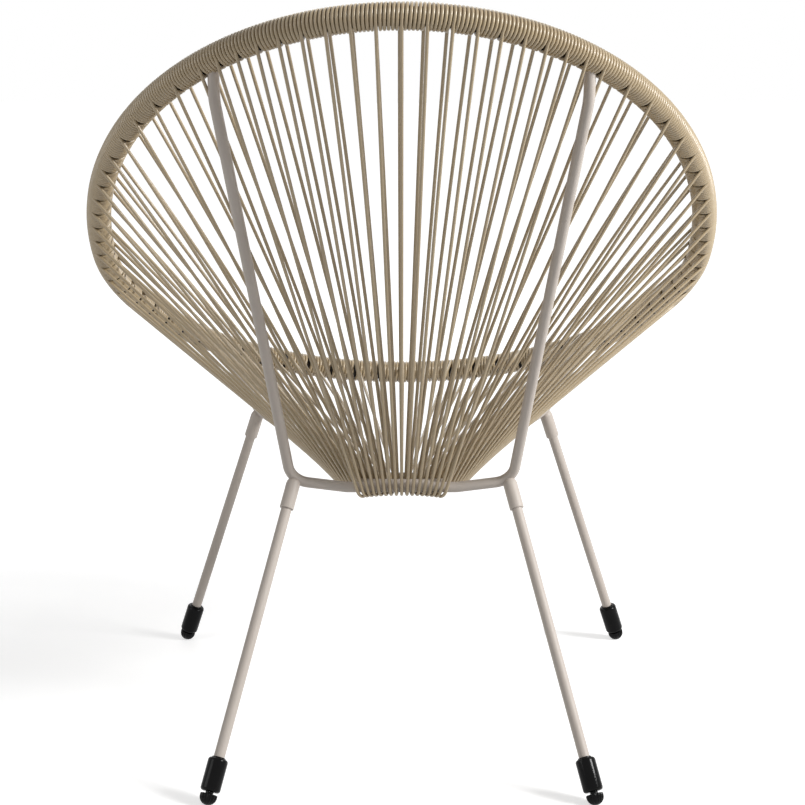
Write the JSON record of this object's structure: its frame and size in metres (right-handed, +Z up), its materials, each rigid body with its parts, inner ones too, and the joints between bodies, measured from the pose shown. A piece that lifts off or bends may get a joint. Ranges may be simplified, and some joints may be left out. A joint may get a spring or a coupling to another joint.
{
  "type": "acapulco chair",
  "caption": "Low lounge chair: an oval steel hoop wound with one cord that runs down to a small ring as a bowl-shaped seat and back, on splayed legs with levelling feet",
  "frame": {"origin": "Middle of the chair on the floor, under the middle of its bounding box", "axes": "+Z is up, the sitter faces -Y, +X is at the sitter's left hand"},
  "size_m": [0.7342, 0.6878, 0.8502],
  "materials": {
    "painted_steel": "satin warm grey powder coat on steel",
    "cord": "smooth round beige cord with a plastic cover",
    "black_plastic": "glossy moulded black plastic",
    "zinc_steel": "zinc plated screw and nut"
  },
  "bodies": {
    "chair": {"rim_hoop": "painted_steel", "seat_ring": "painted_steel", "rear_stay": "painted_steel", "front_stay": "painted_steel", "leg_socket_rear_left": "painted_steel", "leg_rear_left": "painted_steel", "foot_cap_rear_left": "black_plastic", "thread_insert_rear_left": "zinc_steel", "leg_socket_rear_right": "painted_steel", "leg_rear_right": "painted_steel", "foot_cap_rear_right": "black_plastic", "thread_insert_rear_right": "zinc_steel", "leg_socket_front_left": "painted_steel", "leg_front_left": "painted_steel", "foot_cap_front_left": "black_plastic", "thread_insert_front_left": "zinc_steel", "leg_socket_front_right": "painted_steel", "leg_front_right": "painted_steel", "foot_cap_front_right": "black_plastic", "thread_insert_front_right": "zinc_steel", "cord_back_1": "cord", "cord_back_2": "cord", "cord_back_3": "cord", "cord_left_1": "cord", "cord_left_2": "cord", "cord_left_3": "cord", "cord_left_4": "cord", "cord_front_1": "cord", "cord_front_2": "cord", "cord_front_3": "cord", "cord_right_1": "cord", "cord_right_2": "cord", "cord_right_3": "cord", "cord_right_4": "cord"},
    "leveller_rear_left": {"leveller_stud_rear_left": "zinc_steel", "leveller_foot_rear_left": "black_plastic"},
    "leveller_rear_right": {"leveller_stud_rear_right": "zinc_steel", "leveller_foot_rear_right": "black_plastic"},
    "leveller_front_left": {"leveller_stud_front_left": "zinc_steel", "leveller_foot_front_left": "black_plastic"},
    "leveller_front_right": {"leveller_stud_front_right": "zinc_steel", "leveller_foot_front_right": "black_plastic"}
  },
  "joints": [
    {"name": "leveller_rear_left_slide", "type": "slide", "parent": "chair", "child": "leveller_rear_left", "axis": [0.2381, 0.4971, -0.8344], "range_m": [-0.0022, 0.01]},
    {"name": "leveller_rear_right_slide", "type": "slide", "parent": "chair", "child": "leveller_rear_right", "axis": [-0.2381, 0.4971, -0.8344], "range_m": [-0.0022, 0.01]},
    {"name": "leveller_front_left_slide", "type": "slide", "parent": "chair", "child": "leveller_front_left", "axis": [0.3087, -0.1039, -0.9455], "range_m": [-0.0009, 0.01]},
    {"name": "leveller_front_right_slide", "type": "slide", "parent": "chair", "child": "leveller_front_right", "axis": [-0.3087, -0.1039, -0.9455], "range_m": [-0.0009, 0.01]}
  ]
}
